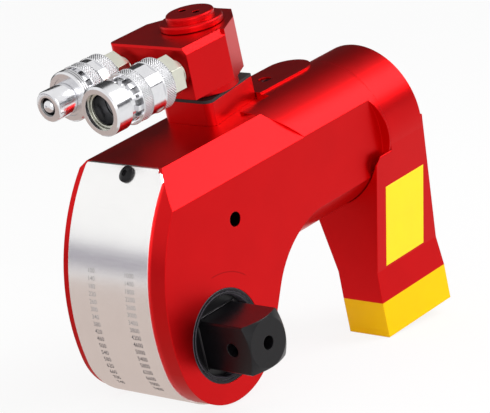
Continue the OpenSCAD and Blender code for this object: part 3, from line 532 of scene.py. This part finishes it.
def ripple(turns):
    """A triangle wave: 0 at each whole turn and 1 half-way between."""
    return np.abs(2 * (turns - np.floor(turns + 0.5)))


def along_coupler(axis, start_x):
    """Places points on a coupler's axis, which runs to -X from a start."""
    def place(way, out, angle):
        y = axis[0] + out * np.sin(angle)
        z = axis[1] + out * np.cos(angle)
        return np.broadcast_arrays(start_x - way, y, z)
    return place


def along_drive(start_y):
    """Places points on the drive axis, which runs to +Y from a start."""
    def place(way, out, angle):
        return np.broadcast_arrays(out * np.sin(angle), start_y + way, out * np.cos(angle))
    return place


def turned_piece(name, body, place, runs, material, ring=False):
    """A turned piece on an axis, from the runs of its profile; a ring's last run meets its first.

    The radius at angle t and way s is the profile's own, less the knurl (where two crossing helices of
    triangle grooves meet), cut to the hexagon, less the crown's notches, or less the thread's single helix.
    The points carry a tone called ridge: 1 on plain metal, lower in grooves and notches, 0 on toned runs;
    finishes paint shade into grooves, notches and bores by it, and highlights onto the drive ring's bevels.
    """
    groove_rise = 2.2
    # Tone of the notches, which the knurled plating turns into painted shade
    notch_tone = 0.2
    sizes = settings().couplers
    way = np.concatenate([np.linspace(run.way, run.last_way, ROWS[run.dress]) for run in runs]) * MM
    radius = np.concatenate([np.linspace(run.radius, run.last_radius, ROWS[run.dress]) for run in runs]) * MM
    dress = np.concatenate([np.full(ROWS[run.dress], run.dress) for run in runs])
    fresh = np.ones(len(way), bool)
    fresh[1:] = (np.diff(way) != 0) | (np.diff(radius) != 0) | (dress[1:] != dress[:-1])
    way, radius, dress = way[fresh, None], radius[fresh, None], dress[fresh, None]
    angle = np.linspace(0, math.tau, AROUND, endpoint=False)[None, :]
    turn = angle / math.tau
    lead = way * sizes.knurl_count / (math.tau * sizes.band)
    peak = np.minimum(ripple(turn * sizes.knurl_count + lead), ripple(turn * sizes.knurl_count - lead))
    sixth = math.pi / 3
    flat = sizes.flats / np.cos(angle % sixth - sixth / 2)
    notch = (dress == "crown") & (ripple(turn * sizes.teeth) < 0.5)
    helix = ripple(way / sizes.thread_pitch + turn)
    out = radius - np.where(dress == "knurl", sizes.knurl_depth * (1 - peak), 0.0)
    out = np.where(dress == "hexagon", np.minimum(out, flat), out)
    out = out - np.where(notch, sizes.notch_depth, 0.0)
    out = out - np.where(dress == "thread", sizes.thread_depth * (1 - helix), 0.0)
    ridge = np.select([dress == "knurl", notch, dress == "thread", dress == "toned"],
                      [np.clip(groove_rise * peak, 0, 1), notch_tone, helix, 0.0], 1.0)
    points = np.stack(place(way, out, angle), -1)
    faces = grid_faces(len(way), AROUND, wrap_rows=ring).tolist()
    if not ring:
        last = (len(way) - 1) * AROUND
        faces += [list(range(AROUND)), list(range(last, last + AROUND))]
    piece = mesh_piece(name, points, faces, material, body)
    tone = piece.data.attributes.new("ridge", "FLOAT", "POINT")
    tone.data.foreach_set("value", np.broadcast_to(ridge, out.shape).ravel().astype(np.float32))
    close_shell(piece, sharp=40)
    return piece


def axis_of(node):
    """The Y and Z of a turned node's axis, and its rear end along X."""
    low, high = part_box(node)
    return ((low[1] + high[1]) / 2, (low[2] + high[2]) / 2), high[0]


def on_plate(across, middle, off, proud):
    """Points on flat strips that touch the nose plate.

    The way down the plate runs from the top edge along the brow arc to the angle where the nose round takes
    over, then along the nose round. A strip touches the plate at its middle, given as such a way, and a point
    lies off it by a distance down the strip; across is the place along Y.
    """
    plate = 1.0 * MM
    nose = 34.0 * MM
    brow = np.array([66.0, 13.5]) * MM
    brow_out = nose + math.hypot(*brow) + plate
    nose_out = nose + plate
    top = math.pi - math.asin((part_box("nose_plate")[1][2] - brow[1]) / (brow_out - plate))
    touch = math.pi + math.atan2(brow[1], brow[0])
    brow_len = (touch - top) * brow_out
    on_brow = middle < brow_len
    angle = np.where(on_brow, top + middle / brow_out, touch + (middle - brow_len) / nose_out)
    out = np.where(on_brow, brow_out, nose_out) + proud
    x = np.where(on_brow, brow[0], 0.0) + out * np.cos(angle) - off * np.sin(angle)
    z = np.where(on_brow, brow[1], 0.0) + out * np.sin(angle) + off * np.cos(angle)
    return np.stack([x, across, z], -1)


# Operators

class WRENCH_OT_finishes(bpy.types.Operator):
    """Gives every CAD node its finish"""
    bl_idname = "wrench.finishes"
    bl_label = "Finishes"

    def execute(self, context):
        colours = settings().colours
        foot_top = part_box("reaction_arm")[0][2] + settings().marks.foot_height
        thread_length = 3.6 * MM
        thread_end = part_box("swivel_block")[0][0]
        thread = (thread_end - thread_length, thread_end)
        put(red_finish("red_anodised"), "swivel_base", "swivel_block")
        put(red_finish("red_housing", dark=housing_hole_shade_and_arc), "housing")
        put(red_finish("red_cap", dark=cap_hole_shade), "swivel_cap")
        put(red_finish("red_arm", yellow_below=foot_top), "reaction_arm")
        put(sheet_finish(), "nose_plate")
        put(black_finish(), "plate_screw", "drive_bush", "far_bush", "cylinder_cap", "gallery_plug",
            "arm_ring", "square_drive", "drive_retainer", "ratchet_wheel")
        put(plated_finish("bright_plating", colours.plate, rough=0.12), "female_body", "female_sleeve",
            "male_body", "male_collar", "male_ball", "piston_rod", "retainer_button")
        put(plated_finish("yellow_plating", colours.passivated, rough=0.24, thread=thread), "nipples")
        put(plated_finish("yellow_ring", colours.passivated, rough=0.3), "female_seal")
        put(steel_finish(), "gland", "latch_pin", "latch_spring", "reaction_pawl", "swivel_post",
            "female_poppet", "piston", "crosshead_pin", "crank_plates", "pawl_carrier", "pawl_spring",
            "drive_pawl", "retainer_spring")
        put(rubber_finish(), "gland_seal", "cap_seal", "swivel_ring", "swivel_seals", "piston_seal")
        return {"FINISHED"}


class WRENCH_OT_couplers(bpy.types.Operator):
    """Builds the knurled, notched and threaded coupler pieces"""
    bl_idname = "wrench.couplers"
    bl_label = "Couplers"

    def execute(self, context):
        bright = plated_finish("knurled_plating", settings().colours.plate, rough=0.12, grooves=True)
        rim = settings().couplers.band / MM - CHAMFER
        self.female_body(rim, bright)
        self.male_body(rim, bright)
        self.male_collar(rim, bright)
        return {"FINISHED"}

    def band(self, first, last, rim):
        """A knurled band between two ways, chamfered down to its rim."""
        top = rim + CHAMFER
        return [Run("plain", first, rim, first + CHAMFER, top),
                Run("knurl", first + CHAMFER, top, last - CHAMFER, top),
                Run("plain", last - CHAMFER, top, last, rim)]

    def tail(self, rim):
        """The rear end of a body: its face, a cone and a band."""
        centre = 3.0
        face = 9.5
        shoulder = 2.2
        return [Run("plain", 0.0, centre, 0.0, face), Run("plain", 0.0, face, shoulder, rim),
                *self.band(shoulder, TAIL_END, rim)]

    def female_body(self, rim, bright):
        """A tail, a hexagon, a second band, a crown and a hollow neck."""
        band_start = 17.9
        band_end = 24.7
        crown_end = 27.7
        front = 38.1
        neck = 10.2
        socket = 8.3
        socket_end = 22.1
        axis, start = axis_of("female_body")
        female = turned_piece("female_knurled_body", "swivel", along_coupler(axis, start), [
            *self.tail(rim),
            Run("hexagon", TAIL_END, rim, band_start, rim),
            *self.band(band_start, band_end, rim),
            Run("crown", band_end, CROWN, crown_end, CROWN),
            Run("plain", crown_end, neck, front, neck),
            Run("toned", front, socket, socket_end, socket)], bright)
        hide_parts("female_body")

    def male_body(self, rim, bright):
        """A tail, a hexagon, a stem and a tip that narrows to the hole of the ball."""
        hexagon_end = 13.7
        stem = 9.5
        stem_end = 27.75
        tip = 8.0
        taper = 40.6
        nose = 7.55
        nose_way = 41.35
        front = 41.6
        face = 6.9
        mouth = 4.9
        mouth_edge = 0.05
        hole = 4.25
        hole_start = 40.9
        hole_end = 28.1
        axis, start = axis_of("male_body")
        male = turned_piece("male_knurled_body", "swivel", along_coupler(axis, start), [
            *self.tail(rim),
            Run("hexagon", TAIL_END, rim, hexagon_end, rim),
            Run("plain", hexagon_end, stem, stem_end, stem),
            Run("plain", stem_end, tip, taper, tip),
            Run("plain", taper, tip, nose_way, nose),
            Run("plain", nose_way, nose, front, face),
            Run("plain", front, face, front, mouth),
            Run("toned", front - mouth_edge, mouth - mouth_edge, hole_start, hole),
            Run("toned", hole_start, hole, hole_end, hole)], bright)
        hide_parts("male_body")

    def male_collar(self, rim, bright):
        """A ring on the stem: a band, a crown and a threaded flange."""
        back = 14.05
        band_end = 20.5
        crown_end = 23.5
        thread_start = 23.7
        thread_end = 27.2
        front = 28.1
        hollow = 9.56
        flange = 13.0
        flange_back = 12.6
        run_out = 12.9
        lip = 12.0
        axis, start = axis_of("male_body")
        collar = turned_piece("male_knurled_collar", "male_collar", along_coupler(axis, start), [
            Run("plain", back, hollow, back, rim),
            *self.band(back, band_end, rim),
            Run("crown", band_end, CROWN, crown_end, CROWN),
            Run("plain", crown_end, flange_back, thread_start, flange),
            Run("thread", thread_start, flange, thread_end, flange),
            Run("plain", thread_end, run_out, front, lip),
            Run("plain", front, lip, front, hollow)], bright, ring=True)
        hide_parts("male_collar")


class WRENCH_OT_drive(bpy.types.Operator):
    """Builds the grooved ring round the drive with painted highlights on its bevels, and the pale edge round
    the square's seat, a painted highlight too
    """
    bl_idname = "wrench.drive"
    bl_label = "Drive ring"

    def execute(self, context):
        low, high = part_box("drive_bush")
        back = (high[1] - low[1]) / MM
        outer = (high[0] - low[0]) / MM / 2
        wall = 3.4
        inner = outer - wall
        lip_start = inner + 0.7
        lip_end = inner + 1.3
        groove_start = inner + 1.5
        groove_end = inner + 1.9
        bevel = 0.4
        land_start = inner + 2.2
        land_end = outer - bevel
        deep = 0.8
        # Depth where the drive ring's bright bevels, painted highlights, end under its face
        glint_edge = 0.2
        step = 0.1
        ring = turned_piece("drive_grooved_bush", "housing", along_drive(low[1]), [
            Run("plain", back, inner, deep, inner),
            Run("toned", deep, inner, glint_edge, lip_start - 2 * step),
            Run("plain", 0.0, lip_start, 0.0, lip_end),
            Run("toned", glint_edge, lip_end + step, deep, groove_start),
            Run("plain", deep, groove_start, deep, groove_end),
            Run("toned", deep, groove_end, glint_edge, land_start - step),
            Run("plain", 0.0, land_start, 0.0, land_end),
            Run("toned", step, land_end + step, bevel, outer),
            Run("plain", bevel, outer, back, outer)], black_finish("glint_black_steel", glint_edge=True), ring=True)
        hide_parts("drive_bush")
        self.seat_edge()
        return {"FINISHED"}

    def seat_edge(self):
        """A low bright frame, its pale colour a painted highlight on the seat's chamfer: a square swept with
        a profile of half width and height over the hub's face.
        """
        half = np.array([12.85, 12.85, 13.3, 13.9])[:, None] * MM
        height = np.array([-0.3, 0.4, 0.7, -0.3])[:, None] * MM
        corner_x = np.array([-1.0, 1.0, 1.0, -1.0])[None, :]
        corner_z = np.array([-1.0, -1.0, 1.0, 1.0])[None, :]
        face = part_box("ratchet_wheel")[0][1]
        points = np.stack(np.broadcast_arrays(half * corner_x, face - height, half * corner_z), -1)
        # The pale colour of this frame is a painted highlight on the seat's chamfer
        edge = plated_finish("painted_highlight_edge", settings().colours.edge, rough=0.25)
        faces = grid_faces(half.size, corner_x.size, wrap_rows=True)
        frame_piece = mesh_piece("seat_edge", points, faces, edge, "output")
        close_shell(frame_piece, sharp=20)


class WRENCH_OT_figures(bpy.types.Operator):
    """Builds two columns of plain numbers on the nose plate"""
    bl_idname = "wrench.figures"
    bl_label = "Figures"

    def execute(self, context):
        marks = settings().marks
        half_figure = 0.35 * marks.figure_size
        proud = 0.01 * MM
        first_numbers = (100, 1000)
        points, faces, count = [], [], 0
        for place, first in zip(marks.columns, first_numbers):
            # Each row adds two fifths of the first number
            step = first * 2 // 5
            rows = "\n".join(str(first + step * row) for row in range(marks.rows))
            column, triangles = self.text(rows, marks.figure_size, marks.row_pitch)
            down = half_figure - column[:, 1]
            row = np.round(down / marks.row_pitch) * marks.row_pitch
            middle = marks.first_row + row - half_figure
            points.append(on_plate(place - column[:, 0], middle, down - row, column[:, 2] + proud))
            faces.append(triangles + count)
            count += len(column)
        points = np.concatenate(points)
        piece = mesh_piece("plate_figures", points, np.concatenate(faces), ink_finish(), "housing")
        close_shell(piece, sharp=30)
        return {"FINISHED"}

    def text(self, body, size, pitch):
        """Points and triangles of centred lines of type, a little thick so that half of it stands out."""
        curve = bpy.data.curves.new("figures", "FONT")
        curve.body = body
        curve.size = size
        curve.space_line = pitch / size
        curve.align_x = "CENTER"
        curve.resolution_u = 3
        curve.offset = 0.006 * size
        curve.extrude = 0.02 * MM
        flat = bpy.data.meshes.new_from_object(bpy.data.objects.new("figures", curve))
        flat.calc_loop_triangles()
        points = np.empty(len(flat.vertices) * 3)
        flat.vertices.foreach_get("co", points)
        triangles = np.empty(len(flat.loop_triangles) * 3, int)
        flat.loop_triangles.foreach_get("vertices", triangles)
        return points.reshape(-1, 3), triangles.reshape(-1, 3)


class WRENCH_OT_label(bpy.types.Operator):
    """Builds the bare yellow label on the arm"""
    bl_idname = "wrench.label"
    bl_label = "Label"

    def execute(self, context):
        marks = settings().marks
        width, height, lean = marks.label_size
        sunk = 0.02 * MM
        across = self.shares(width, marks.film)
        upward = self.shares(height, marks.film)
        u, v = np.meshgrid(across, upward, indexing="ij")
        edge = np.minimum(np.minimum(u, 1 - u) * width, np.minimum(v, 1 - v) * height)
        x = marks.label_corner[0] + u * width + v * lean
        z = marks.label_corner[1] + v * height
        back = self.side(z) + sunk
        front = np.where(edge > 0, self.side(z) - marks.film, back)
        faces = grid_faces(len(across), len(upward), wrap_columns=False)
        both = np.concatenate([faces, faces[:, ::-1] + u.size])
        points = np.stack([np.stack([x, y, z], -1) for y in (front, back)])
        piece = mesh_piece("arm_label", points, both, label_finish(), "housing")
        close_shell(piece, sharp=30)
        return {"FINISHED"}

    def shares(self, length, rim):
        """Shares of a length where the film has points: a narrow rim at each end and even rows between."""
        between = np.linspace(0.1, 0.9, 9) * length
        return np.array([0.0, rim, *between, length - rim, length]) / length

    def side(self, z):
        """The arm's drive side leans out from the waist to the boss: Y as a straight function of Z."""
        waist_y, waist_z = -30.0 * MM, -16.6 * MM
        boss_y, boss_z = -36.5 * MM, 53.0 * MM
        return waist_y + (z - waist_z) * (boss_y - waist_y) / (boss_z - waist_z)


class WRENCH_OT_stage(bpy.types.Operator):
    """Builds the floor, the lights, the reflection cards and the camera"""
    bl_idname = "wrench.stage"
    bl_label = "Studio"

    def execute(self, context):
        studio = settings().studio
        scene = context.scene
        scene.view_settings.view_transform = "Standard"
        self.world(scene, studio.sky)
        self.floor()
        self.lamp("key", studio.key_power, direction=(0.62, -0.5, 0.6), distance=1.1, size=0.6)
        self.lamp("fill", studio.fill_power, direction=(-0.5, -0.75, 0.42), distance=1.2, size=0.8)
        self.card("back_card", direction=(0.654, 0.678, 0.40), distance=0.9, width=1.6, height=0.95,
                  tone=(0.05, 0.05, 0.05))
        self.card("strip_card", direction=(0.654, -0.72, 0.22), distance=0.9, width=1.2, height=0.2,
                  tone=(0.06, 0.06, 0.07))
        self.card("band_card", direction=(-0.715, 0.678, 0.125), distance=0.8, width=0.5, height=0.13,
                  tone=(0.26, 0.24, 0.3))
        self.floor_card("leg_card", x_span=(0.0, 0.13), y_span=(0.0, 0.3), tone=(0.85, 0.85, 0.85))
        self.floor_card("plate_card", x_span=(-0.5, 0.0), y_span=(-0.03, 0.5), tone=(0.60, 0.50, 0.46))
        self.camera(scene, studio)
        return {"FINISHED"}

    def world(self, scene, sky):
        """White to the camera and in reflections, a softer grey as light."""
        world = bpy.data.worlds.new("studio")
        world.use_nodes = True
        tree = world.node_tree
        tree.nodes.clear()
        output = tree.nodes.new("ShaderNodeOutputWorld")
        soft = tree.nodes.new("ShaderNodeBackground")
        white = tree.nodes.new("ShaderNodeBackground")
        for light, strength in ((soft, sky), (white, 1.0)):
            light.inputs["Color"].default_value = (1.0, 1.0, 1.0, 1.0)
            light.inputs["Strength"].default_value = strength
        mix_shaders(tree, self.seen(tree), soft.outputs[0], white.outputs[0], output.inputs["Surface"])
        scene.world = world

    def seen(self, tree):
        """1 for camera, glossy and transmission rays."""
        path = tree.nodes.new("ShaderNodeLightPath")
        link = path.outputs["Is Camera Ray"]
        for kind in ("Is Glossy Ray", "Is Transmission Ray"):
            largest = tree.nodes.new("ShaderNodeMath")
            largest.operation = "MAXIMUM"
            tree.links.new(link, largest.inputs[0])
            tree.links.new(path.outputs[kind], largest.inputs[1])
            link = largest.outputs[0]
        return link

    def floor_height(self, x):
        """Height of the floor, which passes just under the round nose and the front edge of the foot."""
        gap = 0.2 * MM
        nose_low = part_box("nose_plate")[0][2]
        foot_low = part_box("reaction_arm")[0]
        reach = math.hypot(foot_low[0], foot_low[2])
        slope = math.atan2(foot_low[2], foot_low[0]) + math.asin(-nose_low / reach)
        return foot_low[2] + (x - foot_low[0]) * math.tan(slope) - gap

    def on_floor(self, x_span, y_span, lift=0.0):
        """Four corners of a rectangle on the floor, or lifted a little off it."""
        places = [(x_span[a], y_span[b]) for a, b in ((0, 0), (1, 0), (1, 1), (0, 1))]
        return [(x, y, self.floor_height(x) + lift) for x, y in places]

    def flat(self, name, corners, material):
        """Four corners as one face."""
        mesh = bpy.data.meshes.new(name)
        mesh.from_pydata(corners, [], [(0, 1, 2, 3)])
        mesh.materials.append(material)
        piece = bpy.data.objects.new(name, mesh)
        bpy.context.scene.collection.objects.link(piece)
        return piece

    def floor(self):
        """A pale floor that reaches out of sight."""
        span = (-6.0, 6.0)
        floor = self.flat("floor", self.on_floor(span, span), self.floor_finish())

    def floor_finish(self):
        """White paper, mostly plain white to the camera, so that a faint shadow of the object is left in."""
        plain_white = 0.85
        finish = Finish("white_paper")
        fibre = finish.noise(1.5 * MM, detail=3.0, rough=0.6)
        paper = finish.blend(fibre, (0.90, 0.90, 0.90, 1.0), (0.93, 0.93, 0.93, 1.0))
        finish.set(base_color=paper, roughness=0.85)
        white = finish.tree.nodes.new("ShaderNodeEmission")
        part = Socket(finish, self.seen(finish.tree)) * plain_white
        mix_shaders(finish.tree, part.link, finish.shader.outputs[0], white.outputs[0], finish.surface)
        return finish.material

    def lamp(self, name, power, direction, distance, size):
        """A square soft box that looks at the middle of the object."""
        light = bpy.data.lights.new(name, "AREA")
        light.size = size
        light.energy = power
        lamp = bpy.data.objects.new(name, light)
        way = Vector(direction).normalized()
        turn = way.to_track_quat("Z", "Y").to_matrix().to_4x4()
        lamp.matrix_world = Matrix.Translation(Vector(settings().studio.middle) + way * distance) @ turn
        bpy.context.scene.collection.objects.link(lamp)

    def card(self, name, direction, distance, width, height, tone):
        """A card of even tone that faces the middle of the object, and that only reflections see."""
        way = Vector(direction).normalized()
        centre = Vector(settings().studio.middle) + way * distance
        side = way.cross(Vector((0, 0, 1))).normalized()
        up = side.cross(way)
        corners = [centre + side * (a * width / 2) + up * (b * height / 2)
                   for a, b in ((-1, -1), (1, -1), (1, 1), (-1, 1))]
        self.glow(name, corners, tone)

    def floor_card(self, name, x_span, y_span, tone):
        """A card of even tone that lies just over the floor, and that only reflections see."""
        self.glow(name, self.on_floor(x_span, y_span, lift=0.5 * MM), tone)

    def glow(self, name, corners, tone):
        """A glowing face, hidden from the camera, from shadows and from soft light."""
        finish = Finish(name)
        finish.set(base_color=(0.0, 0.0, 0.0, 1.0), roughness=1.0, specular_ior_level=0.0,
                   emission_color=(*tone, 1.0), emission_strength=1.0)
        card = self.flat(name, corners, finish.material)
        card.visible_camera = False
        card.visible_shadow = False
        card.visible_diffuse = False

    def camera(self, scene, studio):
        """The photograph's viewpoint: heading, tilt and roll of a long lens."""
        forward = Vector((math.cos(studio.tilt) * math.cos(studio.heading),
                          math.cos(studio.tilt) * math.sin(studio.heading), -math.sin(studio.tilt)))
        level = forward.cross(Vector((0, 0, 1))).normalized()
        plumb = level.cross(forward)
        up = plumb * math.cos(studio.roll) + level * math.sin(studio.roll)
        right = forward.cross(up)
        data = bpy.data.cameras.new("camera")
        data.sensor_fit = "HORIZONTAL"
        data.sensor_width = 36.0
        data.lens = studio.lens
        data.clip_end = 50.0
        camera = bpy.data.objects.new("camera", data)
        turn = Matrix((right, up, -forward)).transposed().to_4x4()
        camera.matrix_world = Matrix.Translation(Vector(studio.stand)) @ turn
        scene.collection.objects.link(camera)
        scene.camera = camera


class WRENCH_PT_panel(bpy.types.Panel):
    """Lists the steps in the sidebar"""
    bl_idname = "WRENCH_PT_panel"
    bl_label = "Torque wrench"
    bl_space_type = "VIEW_3D"
    bl_region_type = "UI"
    bl_category = "Torque wrench"

    def draw(self, context):
        for step in STEPS:
            self.layout.operator(step.bl_idname)


STEPS = (WRENCH_OT_finishes, WRENCH_OT_couplers, WRENCH_OT_drive, WRENCH_OT_figures, WRENCH_OT_label,
         WRENCH_OT_stage)
CLASSES = (FinishColours, CouplerSizes, MarkSizes, StudioSizes, WrenchSettings, *STEPS, WRENCH_PT_panel)


def register():
    """Registers the classes and the settings."""
    for item in CLASSES:
        bpy.utils.register_class(item)
    bpy.types.Scene.torque_wrench = PointerProperty(type=WrenchSettings, name="Torque wrench",
                                                    description="All settings of the wrench")


def unregister():
    """Takes the settings and the classes away again."""
    del bpy.types.Scene.torque_wrench
    for item in reversed(CLASSES):
        bpy.utils.unregister_class(item)


def main():
    """Dresses the part in steps."""
    register()
    bpy.ops.wrench.finishes()
    bpy.ops.wrench.couplers()
    bpy.ops.wrench.drive()
    bpy.ops.wrench.figures()
    bpy.ops.wrench.label()
    bpy.ops.wrench.stage()


if __name__ == "__main__":
    main()
